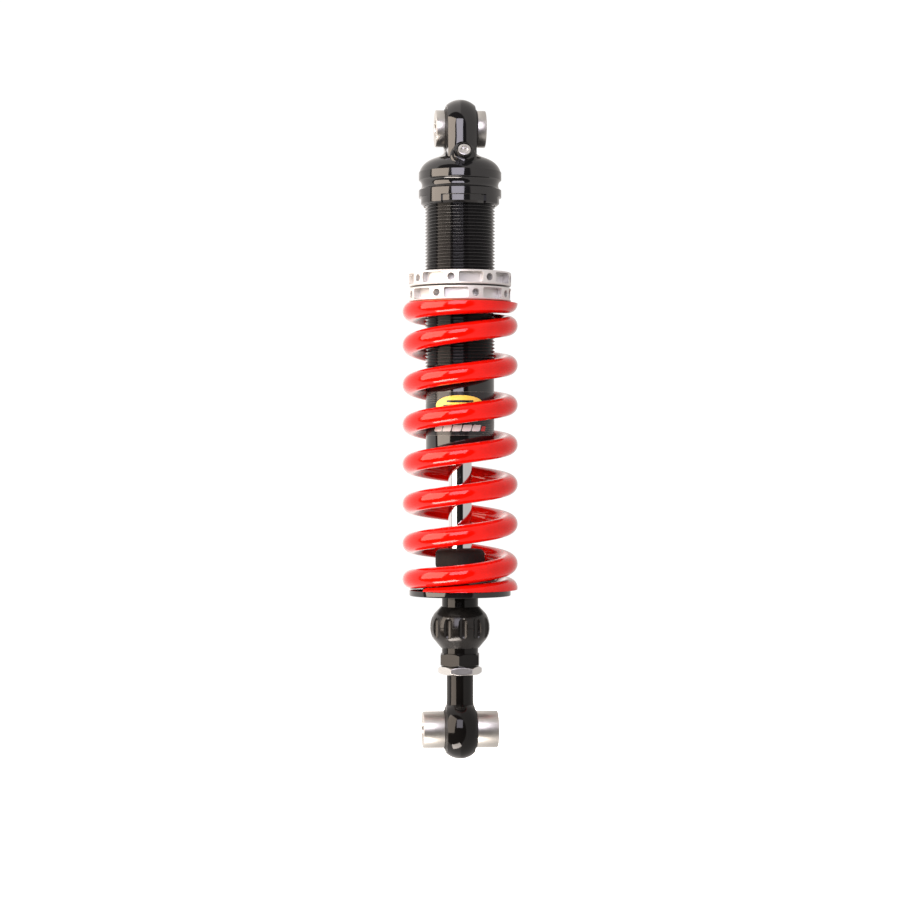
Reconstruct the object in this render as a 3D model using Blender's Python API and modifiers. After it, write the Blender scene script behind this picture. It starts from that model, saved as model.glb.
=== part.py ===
"""Threaded-body coilover damper with two spherical-bearing eyes.

Origin at the centre of the upper eye, +X along both bolt bores, +Z up the damper, -Y the front,
where the gas valve looks out. Depths are measured downwards from the upper eye's centre.
"""
import math

import bmesh
import bpy
from mathutils import Matrix, Vector

for old in list(bpy.data.objects):
    bpy.data.objects.remove(old, do_unlink=True)

MM = 0.001

# Driving dimensions
eye_to_eye = 360 * MM
upper_clamp_width = 30 * MM
lower_clamp_width = 45 * MM
bolt_diameter = 10 * MM
piston_diameter = 36 * MM
rod_diameter = 14 * MM
wire_diameter = 11.6 * MM
spring_turns = 8.617
spring_pitch = 23.78 * MM
hex_across_flats = 22.8 * MM

# Diameters that follow from them
tube_diameter = piston_diameter + 5.9 * MM
ring_diameter = tube_diameter + 19.4 * MM
spring_outer_diameter = tube_diameter + 2 * wire_diameter + 4.1 * MM

# Clearances between neighbours
running_gap = 0.15 * MM
seat_gap = 0.15 * MM
fit_gap = 0.3 * MM

# Eyes
eye_radius = 17.5 * MM
eye_width = 17 * MM
eye_crown = 12.6 * MM
race_radius = 13 * MM
race_width = 9 * MM
ball_radius = 11 * MM
ball_width = 12 * MM
circlip_width = 1.1 * MM
circlip_groove = 0.75 * MM
flange_radius = 11 * MM
collar_radius = 9.05 * MM
spigot_radius = 7.5 * MM
seal_radius = 11.75 * MM
seal_reach = 1.1 * MM

# Head
head_radius = tube_diameter / 2 + 3.85 * MM
head_groove = 2.2 * MM
shoulder_depth = 12.8 * MM
head_top = 25.9 * MM
head_bottom = 46.3 * MM
valve_tilt = math.radians(26)
valve_depth = 17.9 * MM
valve_reach = 20 * MM
boss_radius = 7.9 * MM
valve_flats = 12 * MM
valve_nose = 4.65 * MM

# Tube
tube_radius = tube_diameter / 2
smooth_radius = tube_radius - 0.45 * MM
bore_radius = piston_diameter / 2
tube_top = head_bottom - 15.9 * MM
thread_end = 143.5 * MM
tube_bottom = 197.5 * MM

# Preload rings
ring_height = 8.3 * MM
lock_ring_top = 86.4 * MM
ring_parting = 1 * MM
ring_pockets = 8
pocket_width = 14.6 * MM
pocket_height = 6.2 * MM
pocket_depth = 5.2 * MM
spanner_hole = 4.4 * MM
washer_thickness = 0.5 * MM

# Spring, seat and bump stop
spring_top = 104.75 * MM
spring_radius = (spring_outer_diameter - wire_diameter) / 2
end_turns = 1.37
end_rise = 15.8 * MM
spring_length = 2 * end_rise + (spring_turns - 2 * end_turns) * spring_pitch
spring_bottom = spring_top + spring_length
spring_tip_angle = math.radians(-47)
seat_top = spring_bottom + seat_gap
seat_radius = spring_outer_diameter / 2 - 4.2 * MM
seat_thickness = 3.5 * MM
stop_bottom = spring_bottom - 12.1 * MM
stop_top = stop_bottom - 12.2 * MM
stop_radius = 14.75 * MM

# Rod end, knob and lower eye
rod_radius = rod_diameter / 2
neck_radius = 10.9 * MM
knob_top = spring_bottom + 10.2 * MM
knob_bottom = knob_top + 24.6 * MM
knob_radius = 17.8 * MM
knob_flutes = 12
hex_top = knob_bottom + 3.2 * MM
hex_bottom = hex_top + 7.8 * MM
nut_thickness = 4.9 * MM
shank_radius = 8 * MM
stud_radius = 7 * MM
bearing_steps = 20

parts = bpy.data.collections.new("coilover")
cutters = bpy.data.collections.new("cutters")
bpy.context.scene.collection.children.link(parts)
bpy.context.scene.collection.children.link(cutters)


# Materials
def material(name, colour, metallic, roughness):
    made = bpy.data.materials.new(name)
    made.use_nodes = True
    shader = made.node_tree.nodes["Principled BSDF"]
    shader.inputs["Base Color"].default_value = (*colour, 1)
    shader.inputs["Metallic"].default_value = metallic
    shader.inputs["Roughness"].default_value = roughness
    made.diffuse_color = (*colour, 1)
    return made


looks = {
    "black_anodised": ((0.02, 0.02, 0.022), 0.6, 0.3),
    "clear_anodised": ((0.75, 0.75, 0.74), 1.0, 0.35),
    "plated_steel": ((0.62, 0.62, 0.6), 1.0, 0.3),
    "bearing_steel": ((0.5, 0.5, 0.5), 1.0, 0.2),
    "chromed_steel": ((0.85, 0.85, 0.86), 1.0, 0.05),
    "spring_red": ((0.7, 0.015, 0.01), 0.0, 0.25),
    "bump_foam": ((0.03, 0.028, 0.026), 0.0, 0.8),
    "seal_rubber": ((0.03, 0.03, 0.03), 0.0, 0.6),
    "bronze_band": ((0.45, 0.3, 0.12), 0.3, 0.5),
    "label_film": ((0.06, 0.055, 0.05), 0.0, 0.3),
}
materials = {name: material(name, *values) for name, values in looks.items()}


# Shaping
def finish(name, mesh, look, place=parts):
    solid = bpy.data.objects.new(name, mesh)
    place.objects.link(solid)
    if look:
        mesh.materials.append(materials[look])
        for face in mesh.polygons:
            face.use_smooth = True
    else:
        solid.hide_render = True
        solid.display_type = "WIRE"
    return solid


def turned(name, look, outline, steps=20, along="Z", centre=(0, 0, 0)):
    """A turned piece: radius and depth pairs that run down the outer side."""
    mesh = bpy.data.meshes.new(name)
    points = [(radius, 0, -depth) for radius, depth in outline]
    links = [(i, i + 1) for i in range(len(points) - 1)]
    if outline[0][0] > 0:
        links.append((len(points) - 1, 0))
    mesh.from_pydata(points, links, [])
    solid = finish(name, mesh, look, parts if look else cutters)
    turn = solid.modifiers.new("Turn", "SCREW")
    turn.steps = steps
    turn.render_steps = steps
    turn.use_merge_vertices = True
    turn.merge_threshold = 0.000001
    turn.use_smooth_shade = True
    if along == "X":
        solid.rotation_euler = (0, math.radians(-90), 0)
    if along == "-X":
        solid.rotation_euler = (0, math.radians(90), 0)
    solid.location = centre
    return solid


def prism(name, look, sides, radius, top, bottom, turn=0.0):
    """An upright prism with a corner at the angle turn from +Y."""
    mesh = bpy.data.meshes.new(name)
    shape = bmesh.new()
    height = bottom - top
    middle = Matrix.Translation((0, 0, -(top + bottom) / 2)) @ Matrix.Rotation(turn, 4, "Z")
    bmesh.ops.create_cone(shape, cap_ends=True, segments=sides, radius1=radius, radius2=radius,
                          depth=height, matrix=middle)
    shape.to_mesh(mesh)
    shape.free()
    return finish(name, mesh, look, parts if look else cutters)


def combine(solid, other, operation="DIFFERENCE"):
    step = solid.modifiers.new(operation.title(), "BOOLEAN")
    step.operation = operation
    step.solver = "EXACT"
    step.object = other


def hex_radius(flats):
    return flats / math.sqrt(3)


def crown(across):
    """Radius of the eye's crowned rim at a distance across from its middle plane."""
    return eye_radius - eye_crown + math.sqrt(eye_crown ** 2 - across ** 2)


# Bearing set of one eye: spherical race and ball, two circlips, two seals, two top-hat spacers
def eye_bore(name, centre):
    half = race_width / 2
    inner = half + fit_gap / 2
    outer = inner + circlip_width + fit_gap
    wall = race_radius + running_gap
    groove = wall + circlip_groove
    face = eye_width / 2 + 1 * MM
    outline = [(0, -face), (wall, -face), (wall, -outer), (groove, -outer), (groove, -inner),
               (wall, -inner), (wall, inner), (groove, inner), (groove, outer), (wall, outer),
               (wall, face), (0, face)]
    return turned(name, None, outline, bearing_steps, "X", centre)


def race(name, centre):
    half = race_width / 2
    sphere = ball_radius + 0.25 * MM
    outline = [(race_radius, -half), (race_radius, half)]
    for share in (1, 0.5, 0, -0.5, -1):
        outline.append((math.sqrt(sphere ** 2 - (share * half) ** 2), share * half))
    turned(name, "bearing_steel", outline, bearing_steps, "X", centre)


def ball(name, centre):
    half = ball_width / 2
    bore = spigot_radius + running_gap
    outline = []
    for share in (-1, -0.5, 0, 0.5, 1):
        outline.append((math.sqrt(ball_radius ** 2 - (share * half) ** 2), share * half))
    outline += [(bore, half), (bore, -half)]
    turned(name, "bearing_steel", outline, bearing_steps, "X", centre)


def circlip(name, centre, side):
    near = race_width / 2 + fit_gap
    far = near + circlip_width
    outer = race_radius + circlip_groove - fit_gap / 2
    inner = ball_radius + 0.6 * MM
    clip = turned(name, "bearing_steel", [(outer, near), (outer, far), (inner, far), (inner, near)],
                  bearing_steps, "X" if side < 0 else "-X", centre)
    gap = prism(name + "_gap", None, 4, 3 * MM, race_radius - 4 * MM, race_radius + 4 * MM,
                math.radians(45))
    gap.location = centre
    combine(clip, gap)


def seal(name, centre, side):
    near = race_width / 2 + 2 * fit_gap + circlip_width
    face = eye_width / 2
    lip = collar_radius + 0.2 * MM
    outer = race_radius - 0.1 * MM
    outline = [(outer, near), (outer, face), (seal_radius, face),
               (seal_radius, face + seal_reach), (lip, face + seal_reach), (lip, near)]
    turned(name, "seal_rubber", outline, bearing_steps, "X" if side < 0 else "-X", centre)


def spacer(name, centre, side, width):
    end = width / 2
    edge = 0.4 * MM
    flange = eye_width / 2 + seal_reach + running_gap
    bore = bolt_diameter / 2 + 0.1 * MM
    collar = ball_width / 2 + running_gap
    outline = [(spigot_radius, seat_gap), (spigot_radius, collar), (collar_radius, collar),
               (collar_radius, flange), (flange_radius, flange), (flange_radius, end - edge),
               (flange_radius - edge, end), (bore, end), (bore, seat_gap)]
    turned(name, "clear_anodised", outline, bearing_steps, "X" if side < 0 else "-X", centre)


def bearing_set(eye, depth, width):
    centre = (0, 0, -depth)
    race(eye + "_race", centre)
    ball(eye + "_ball", centre)
    for side, word in ((-1, "left"), (1, "right")):
        circlip(f"{eye}_circlip_{word}", centre, side)
        seal(f"{eye}_seal_{word}", centre, side)
        spacer(f"{eye}_spacer_{word}", centre, side, width)


bearing_set("upper", 0, upper_clamp_width)
bearing_set("lower", eye_to_eye, lower_clamp_width)


# Head: crowned eye on a turned cap with two grip bands and a boss for the gas valve
def arch(name, depth, turns):
    """The eye's crowned rim, round over the top and straight down to depth."""
    shares = (-1, -0.55, 0, 0.55, 1)
    rows = [(math.pi, depth)]
    for i in range(turns + 1):
        rows.append((math.pi * (1 - i / turns), 0))
    rows.append((0, depth))
    points = []
    for angle, drop in rows:
        for share in shares:
            across = share * eye_width / 2
            rim = crown(across)
            points.append((across, rim * math.cos(angle), rim * math.sin(angle) - drop))
    wide = len(shares)
    faces = []
    for row in range(len(rows) - 1):
        for i in range(wide - 1):
            first = row * wide + i
            faces.append((first, first + 1, first + wide + 1, first + wide))
    last = (len(rows) - 1) * wide
    faces.append([row * wide for row in range(len(rows))])
    faces.append([row * wide + wide - 1 for row in reversed(range(len(rows)))])
    faces.append(list(reversed(range(wide))) + [last + i for i in range(wide)])
    mesh = bpy.data.meshes.new(name)
    mesh.from_pydata(points, [], faces)
    shape = bmesh.new()
    shape.from_mesh(mesh)
    bmesh.ops.recalc_face_normals(shape, faces=shape.faces)
    shape.to_mesh(mesh)
    shape.free()
    return finish(name, mesh, None, cutters)


socket_radius = tube_radius + 0.35 * MM
socket_top = tube_top - 0.4 * MM
waist = head_radius - head_groove
head = turned("head", "black_anodised", [
    (0, 11.4 * MM),
    (8.3 * MM, 11.4 * MM),
    (8.9 * MM, shoulder_depth),
    (10.8 * MM, 15.2 * MM),
    (15.4 * MM, 17.6 * MM),
    (20.1 * MM, 19.9 * MM),
    (22 * MM, 21.4 * MM),
    (head_radius - 1.1 * MM, head_top - 1 * MM),
    (head_radius, head_top),
    (head_radius, 30.7 * MM),
    (head_radius - 0.6 * MM, 31 * MM),
    (waist, 35.6 * MM),
    (head_radius, 36.9 * MM),
    (head_radius, head_bottom - 0.8 * MM),
    (head_radius - 0.8 * MM, head_bottom),
    (socket_radius, head_bottom),
    (socket_radius, socket_top),
    (0, socket_top),
], 32)
combine(head, arch("head_eye", 20 * MM, 16), "UNION")


# Spanner recesses round the head's lower edge
def recess(section, facing, turns):
    """The cutter of one recess: radius and depth pairs swept through the turns about its middle."""
    shape = bmesh.new()
    rows = []
    for turn in turns:
        way = Vector((math.sin(facing + turn), -math.cos(facing + turn), 0))
        rows.append([shape.verts.new(way * radius - Vector((0, 0, depth))) for radius, depth in section])
    count = len(section)
    for first, second in zip(rows, rows[1:]):
        for i in range(count):
            j = (i + 1) % count
            shape.faces.new((first[i], first[j], second[j], second[i]))
    shape.faces.new(rows[0])
    shape.faces.new(list(reversed(rows[-1])))
    bmesh.ops.recalc_face_normals(shape, faces=shape.faces)
    mesh = bpy.data.meshes.new("recess")
    shape.to_mesh(mesh)
    shape.free()
    return finish("recess", mesh, None, cutters)


recess_section = [
    (head_radius - 1.3 * MM, head_bottom - 4.9 * MM),
    (head_radius + 1 * MM, head_bottom - 4.9 * MM),
    (head_radius + 1 * MM, head_bottom + 0.6 * MM),
    (head_radius - 3.5 * MM, head_bottom + 0.6 * MM),
    (head_radius - 1.3 * MM, head_bottom - 1.3 * MM),
]
recess_turns = [math.radians(turn) for turn in (-33, -22.5, -11.25, 0, 11.25, 22.5, 33)]
for quarter in range(4):
    combine(head, recess(recess_section, math.radians(90 * quarter), recess_turns))

valve_axis = Vector((0, -math.cos(valve_tilt), math.sin(valve_tilt)))
valve_seat = Vector((0, -valve_reach, -valve_depth))


def point_at_valve(solid, along):
    """Stand a piece, built upright at the origin, on the valve's axis."""
    solid.rotation_mode = "QUATERNION"
    solid.rotation_quaternion = valve_axis.to_track_quat("Z", "Y")
    solid.location = valve_seat + valve_axis * along


boss = prism("valve_boss", None, 20, boss_radius, 0, 9 * MM)
point_at_valve(boss, 0)
combine(head, boss, "UNION")
spot_face = prism("valve_spot_face", None, 20, boss_radius + 0.5 * MM, 0, 14 * MM)
point_at_valve(spot_face, 14 * MM)
combine(head, spot_face)
combine(head, eye_bore("upper_bore", (0, 0, 0)))

# Gas valve: black hex plug with a plated screw in its nose
valve_height = 3.6 * MM
nose_height = 2.6 * MM
plug = prism("gas_valve_plug", "black_anodised", 6, hex_radius(valve_flats), -valve_height, 0)
nose = prism("valve_nose", None, 20, valve_nose, -nose_height - 1 * MM, 1 * MM)
pocket = prism("valve_pocket", None, 20, valve_nose - 0.45 * MM, -8 * MM, -1 * MM)
screw = prism("gas_valve_screw", "plated_steel", 20, valve_nose - 0.6 * MM, -4.5 * MM, 0)
key = prism("valve_key", None, 6, 2.3 * MM, -5.8 * MM, -2.4 * MM)
point_at_valve(plug, seat_gap)
point_at_valve(nose, valve_height - 1 * MM)
point_at_valve(pocket, seat_gap)
point_at_valve(screw, 1 * MM + 2 * seat_gap)
point_at_valve(key, 1 * MM)
combine(plug, nose, "UNION")
combine(plug, pocket)
combine(screw, key)

# Tube: threaded outside down to thread_end, smooth below, with the seal head's circlip groove
circlip_top = 194.65 * MM
circlip_bottom = circlip_top + 1.5 * MM
turned("tube", "black_anodised", [
    (tube_radius, tube_top),
    (tube_radius, thread_end),
    (smooth_radius, thread_end + 0.6 * MM),
    (smooth_radius, tube_bottom - 0.6 * MM),
    (smooth_radius - 0.6 * MM, tube_bottom),
    (bore_radius, tube_bottom),
    (bore_radius, circlip_bottom),
    (bore_radius + 0.9 * MM, circlip_bottom),
    (bore_radius + 0.9 * MM, circlip_top),
    (bore_radius, circlip_top),
    (bore_radius, tube_top),
], 32)

# Label: a thin film around the front of the smooth stretch
label_top = thread_end + 3.5 * MM
label_bottom = tube_bottom - 9.5 * MM
label_inner = smooth_radius + 0.08 * MM
label = turned("label", "label_film", [
    (label_inner + 0.25 * MM, label_top),
    (label_inner + 0.25 * MM, label_bottom),
    (label_inner, label_bottom),
    (label_inner, label_top),
], 32)
label_gap = prism("label_gap", None, 4, 30 * MM, label_top - 5 * MM, label_bottom + 5 * MM,
                  math.radians(45))
label_gap.location = (0, 30 * MM, 0)
combine(label, label_gap)

# Seal head, its seals and its circlip
seal_head_top = 183 * MM
seal_seat = 189.6 * MM
seal_head_bottom = circlip_top - seat_gap
seal_bore = rod_radius + running_gap
seal_pocket = rod_radius + 3.6 * MM
seal_thickness = 2.2 * MM
turned("seal_head", "clear_anodised", [
    (bore_radius - fit_gap, seal_head_top),
    (bore_radius - fit_gap, seal_head_bottom),
    (seal_pocket, seal_head_bottom),
    (seal_pocket, seal_seat),
    (seal_bore, seal_seat),
    (seal_bore, seal_head_top),
])
for name, top in (("rod_seal", seal_seat + seat_gap),
                  ("wiper", seal_seat + 2 * seat_gap + seal_thickness)):
    turned(name, "seal_rubber", [
        (seal_pocket - running_gap, top),
        (seal_pocket - running_gap, top + seal_thickness),
        (seal_bore, top + seal_thickness),
        (seal_bore, top),
    ])
turned("seal_head_circlip", "bearing_steel", [
    (bore_radius + 0.6 * MM, circlip_top + seat_gap),
    (bore_radius + 0.6 * MM, circlip_bottom - seat_gap),
    (bore_radius - 1.8 * MM, circlip_bottom - seat_gap),
    (bore_radius - 1.8 * MM, circlip_top + seat_gap),
], 20)

# Floating piston that parts the gas from the oil
float_top = 60 * MM
float_height = 14 * MM
float_radius = bore_radius - fit_gap
ring_seat = float_top + 5 * MM
turned("floating_piston", "clear_anodised", [
    (0, float_top + 6 * MM),
    (float_radius - 3.5 * MM, float_top + 6 * MM),
    (float_radius - 3.5 * MM, float_top),
    (float_radius, float_top),
    (float_radius, ring_seat),
    (float_radius - 1.7 * MM, ring_seat),
    (float_radius - 1.7 * MM, ring_seat + 3 * MM),
    (float_radius, ring_seat + 3 * MM),
    (float_radius, float_top + float_height),
    (0, float_top + float_height),
])
turned("floating_piston_ring", "seal_rubber", [
    (bore_radius - running_gap, ring_seat + 0.3 * MM),
    (bore_radius - running_gap, ring_seat + 2.7 * MM),
    (float_radius - 1.5 * MM, ring_seat + 2.7 * MM),
    (float_radius - 1.5 * MM, ring_seat + 0.3 * MM),
])

# Rod with its piston, shims and nut, held away from the seal head by a top-out spacer
rod_spigot = 5 * MM
pushrod_radius = 1.7 * MM
rod_top = 141 * MM
rod_shoulder = 166 * MM
rod_bottom = spring_bottom + 7.9 * MM
piston_top = 150 * MM
piston_bottom = 160 * MM
spigot_bore = rod_spigot + running_gap
turned("rod", "chromed_steel", [
    (rod_spigot, rod_top),
    (rod_spigot, rod_shoulder),
    (rod_radius, rod_shoulder),
    (rod_radius, rod_bottom),
    (pushrod_radius + running_gap, rod_bottom),
    (pushrod_radius + running_gap, rod_top),
])
turned("rebound_pushrod", "plated_steel", [
    (0, rod_top + 1 * MM),
    (pushrod_radius, rod_top + 1 * MM),
    (pushrod_radius, rod_bottom - 0.5 * MM),
    (0, rod_bottom - 0.5 * MM),
], 12)
band_depth = 0.8 * MM
turned("piston", "clear_anodised", [
    (bore_radius - fit_gap, piston_top),
    (bore_radius - fit_gap, piston_top + 2 * MM),
    (bore_radius - fit_gap - band_depth, piston_top + 2 * MM),
    (bore_radius - fit_gap - band_depth, piston_bottom - 2 * MM),
    (bore_radius - fit_gap, piston_bottom - 2 * MM),
    (bore_radius - fit_gap, piston_bottom),
    (spigot_bore, piston_bottom),
    (spigot_bore, piston_top),
])


def sleeve(name, look, outer, inner, top, bottom, steps=20):
    turned(name, look, [(outer, top), (outer, bottom), (inner, bottom), (inner, top)], steps)


sleeve("piston_band", "bronze_band", bore_radius - running_gap,
       bore_radius - fit_gap - band_depth + running_gap,
       piston_top + 2 * MM + seat_gap, piston_bottom - 2 * MM - seat_gap)
sleeve("compression_shims", "bearing_steel", 14.5 * MM, spigot_bore,
       piston_top - 2 * MM, piston_top - seat_gap)
sleeve("rebound_shims", "bearing_steel", 12.5 * MM, spigot_bore,
       piston_bottom + seat_gap, piston_bottom + 1.8 * MM)
sleeve("rebound_plate", "plated_steel", 9.5 * MM, spigot_bore,
       piston_bottom + 2 * MM, rod_shoulder - seat_gap)
sleeve("top_out_spacer", "seal_rubber", rod_radius + 3.5 * MM, rod_radius + running_gap,
       rod_shoulder + fit_gap, seal_head_top - 0.4 * MM)
nut = prism("piston_nut", "plated_steel", 6, hex_radius(16 * MM),
            piston_top - 7.6 * MM, piston_top - 2 * MM - seat_gap)
nut_bore = prism("piston_nut_bore", None, 24, spigot_bore, rod_top - 2 * MM, piston_top)
combine(nut, nut_bore)


# Preload rings: spanner holes between milled pockets
def preload_ring(name, top, first_hole):
    inner = tube_radius + 0.2 * MM
    edge = 0.6 * MM
    outer = ring_diameter / 2
    bottom = top + ring_height
    ring = turned(name, "clear_anodised", [
        (outer - edge, top),
        (outer, top + edge),
        (outer, bottom - edge),
        (outer - edge, bottom),
        (inner, bottom),
        (inner, top),
    ], 36)
    mesh = bpy.data.meshes.new(name + "_cuts")
    shape = bmesh.new()
    middle = -(top + bottom) / 2
    for i in range(ring_pockets):
        hole = first_hole + math.tau * i / ring_pockets
        across = Matrix.Rotation(hole, 4, "Z") @ Matrix.Translation((0, -outer, middle))
        bmesh.ops.create_cone(shape, cap_ends=True, segments=10, radius1=spanner_hole / 2,
                              radius2=spanner_hole / 2, depth=13 * MM,
                              matrix=across @ Matrix.Rotation(math.radians(90), 4, "X"))
        pocket_turn = Matrix.Rotation(hole + math.pi / ring_pockets, 4, "Z")
        reach = 10 * MM
        place = pocket_turn @ Matrix.Translation((0, -outer + pocket_depth - reach / 2, middle))
        size = Matrix.Diagonal((pocket_width, reach, pocket_height, 1))
        bmesh.ops.create_cube(shape, size=1, matrix=place @ size)
    shape.to_mesh(mesh)
    shape.free()
    combine(ring, finish(name + "_cuts", mesh, None, cutters))


adjuster_top = lock_ring_top + ring_height + ring_parting
adjuster_bottom = adjuster_top + ring_height
preload_ring("lock_ring", lock_ring_top, math.radians(-16))
preload_ring("adjuster_ring", adjuster_top, math.radians(12))
sleeve("slip_washer", "bronze_band", ring_diameter / 2 - 1.5 * MM, tube_radius + 0.3 * MM,
       adjuster_bottom + 0.05 * MM, adjuster_bottom + 0.05 * MM + washer_thickness, 32)


# Coil spring: even pitch, both end turns closed and ground flat
def wire_height(turns):
    """Height of the wire's centre above the ground end, counted in turns from its tip."""
    if turns >= end_turns:
        return end_rise + (turns - end_turns) * spring_pitch
    closing = ((0, -3.8), (0.25, 0), (0.64, 3.6), (0.87, 6.1), (1.12, 10.1), (end_turns, 15.8))
    for (low, first), (high, second) in zip(closing, closing[1:]):
        if turns <= high:
            share = (turns - low) / (high - low)
            return (first + (second - first) * share) * MM


def wire_centre(turns):
    if turns < spring_turns / 2:
        depth = spring_bottom - wire_height(turns)
    else:
        depth = spring_top + wire_height(spring_turns - turns)
    angle = spring_tip_angle + math.tau * turns
    radius = spring_radius / math.cos(math.pi / steps_per_turn)
    return Vector((radius * math.sin(angle), -radius * math.cos(angle), -depth))


steps_per_turn = 16
wire_steps = round(spring_turns * steps_per_turn)
path = bpy.data.curves.new("spring_path", "CURVE")
path.dimensions = "3D"
path.bevel_depth = wire_diameter / 2
path.bevel_resolution = 2
path.use_fill_caps = True
line = path.splines.new("POLY")
line.points.add(wire_steps)
for i in range(wire_steps + 1):
    line.points[i].co = (*wire_centre(spring_turns * i / wire_steps), 1)
path_object = bpy.data.objects.new("spring_path", path)
cutters.objects.link(path_object)
wire_mesh = bpy.data.meshes.new_from_object(path_object)
shape = bmesh.new()
shape.from_mesh(wire_mesh)
bmesh.ops.remove_doubles(shape, verts=shape.verts, dist=0.000001)
bmesh.ops.recalc_face_normals(shape, faces=shape.faces)
shape.to_mesh(wire_mesh)
shape.free()
bpy.data.objects.remove(path_object, do_unlink=True)
wire_mesh.materials.clear()
spring = finish("coil_spring", wire_mesh, "spring_red")
combine(spring, prism("ground_top", None, 4, 70 * MM, spring_top - 20 * MM, spring_top))
combine(spring, prism("ground_bottom", None, 4, 70 * MM, spring_bottom, spring_bottom + 20 * MM))

# Lower spring seat: a flat plate with a spigot inside the spring and under the bump stop
shaft_radius = 9 * MM
seat_bottom = seat_top + seat_thickness
spigot_top = stop_bottom + seat_gap
spring_bore = spring_radius - wire_diameter / 2
turned("lower_seat", "black_anodised", [
    (16.5 * MM, spigot_top),
    (16.5 * MM, spigot_top + 3 * MM),
    (spring_bore - 0.8 * MM, seat_top - 6 * MM),
    (spring_bore - 0.8 * MM, seat_top),
    (seat_radius, seat_top),
    (seat_radius, seat_bottom - 0.5 * MM),
    (seat_radius - 0.5 * MM, seat_bottom),
    (shaft_radius + fit_gap, seat_bottom),
    (shaft_radius + fit_gap, spigot_top),
], 32)
turned("bump_stop", "bump_foam", [
    (stop_radius - 3 * MM, stop_top),
    (stop_radius - 0.8 * MM, stop_top + 0.9 * MM),
    (stop_radius, stop_top + 3.2 * MM),
    (stop_radius, stop_bottom - 3 * MM),
    (stop_radius - 1.6 * MM, stop_bottom),
    (rod_radius + fit_gap, stop_bottom),
    (rod_radius + fit_gap, stop_top),
], 24)

# Shaft end: neck under the seat, spanner hex at the bottom, threaded hole for the lower eye
shaft_end = turned("shaft_end", "black_anodised", [
    (0, rod_bottom + fit_gap),
    (rod_radius + running_gap, rod_bottom + fit_gap),
    (rod_radius + running_gap, spigot_top + 2 * MM),
    (shaft_radius, spigot_top + 2 * MM),
    (shaft_radius, seat_bottom + seat_gap),
    (neck_radius, seat_bottom + seat_gap),
    (neck_radius, hex_top + 0.3 * MM),
    (0, hex_top + 0.3 * MM),
], 28)
hex_body = prism("shaft_hex", None, 6, hex_radius(hex_across_flats), hex_top, hex_bottom,
                 math.radians(-8))
stud_top = hex_top - 17.1 * MM
stud_hole = prism("stud_hole", None, 24, stud_radius + running_gap,
                  stud_top - fit_gap, hex_bottom + 2 * MM)
combine(shaft_end, hex_body, "UNION")
combine(shaft_end, stud_hole)

# Rebound knob: a fluted barrel with steep shoulders
flank = 4.2 * MM
knob = turned("rebound_knob", "black_anodised", [
    (neck_radius + 0.6 * MM, knob_top),
    (knob_radius - 2.2 * MM, knob_top + flank),
    (knob_radius - 0.6 * MM, knob_top + 8 * MM),
    (knob_radius, knob_top + 12.4 * MM),
    (knob_radius - 0.7 * MM, knob_top + 16.5 * MM),
    (knob_radius - 2.4 * MM, knob_bottom - 4.6 * MM),
    (neck_radius + 0.6 * MM, knob_bottom),
    (neck_radius + running_gap, knob_bottom),
    (neck_radius + running_gap, knob_top),
], 32)
mesh = bpy.data.meshes.new("knob_flutes")
shape = bmesh.new()
flute_radius = 3 * MM
for i in range(knob_flutes):
    turn = Matrix.Rotation(math.tau * i / knob_flutes, 4, "Z")
    place = turn @ Matrix.Translation((0, -knob_radius - 1.2 * MM, -(knob_top + knob_bottom) / 2))
    bmesh.ops.create_cone(shape, cap_ends=True, segments=12, radius1=flute_radius,
                          radius2=flute_radius, depth=16 * MM, matrix=place)
shape.to_mesh(mesh)
shape.free()
combine(knob, finish("knob_flutes", mesh, None, cutters))

# Lock nut on the lower eye's stud
nut_top = hex_bottom + seat_gap
nut_bottom = nut_top + nut_thickness
lock_nut = prism("lock_nut", "plated_steel", 6, hex_radius(hex_across_flats), nut_top, nut_bottom,
                 math.radians(-31))
lock_nut_bore = prism("lock_nut_bore", None, 24, stud_radius + running_gap,
                      nut_top - 1 * MM, nut_bottom + 1 * MM)
combine(lock_nut, lock_nut_bore)

# Lower eye: stud, shank and crowned ring in one piece
shank_top = nut_bottom + seat_gap
lower_eye = turned("lower_eye", "black_anodised", [
    (0, stud_top - eye_to_eye),
    (stud_radius - 0.6 * MM, stud_top - eye_to_eye),
    (stud_radius, stud_top - eye_to_eye + 0.6 * MM),
    (stud_radius, shank_top - eye_to_eye),
    (shank_radius, shank_top - eye_to_eye),
    (shank_radius, -12.5 * MM),
    (0, -12.5 * MM),
], 24, "Z", (0, 0, -eye_to_eye))
rim = []
for share in (-1, -0.55, 0, 0.55, 1):
    rim.append((crown(share * eye_width / 2), share * eye_width / 2))
lower_rim = turned("lower_rim", None, [(0, -eye_width / 2)] + rim + [(0, eye_width / 2)],
                   28, "X", (0, 0, -eye_to_eye))
combine(lower_eye, lower_rim, "UNION")
combine(lower_eye, eye_bore("lower_bore", (0, 0, -eye_to_eye)))
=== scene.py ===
"""Looks of a threaded-body coilover damper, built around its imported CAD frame."""
import math

import bmesh
import bpy
from mathutils import Matrix, Vector


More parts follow.
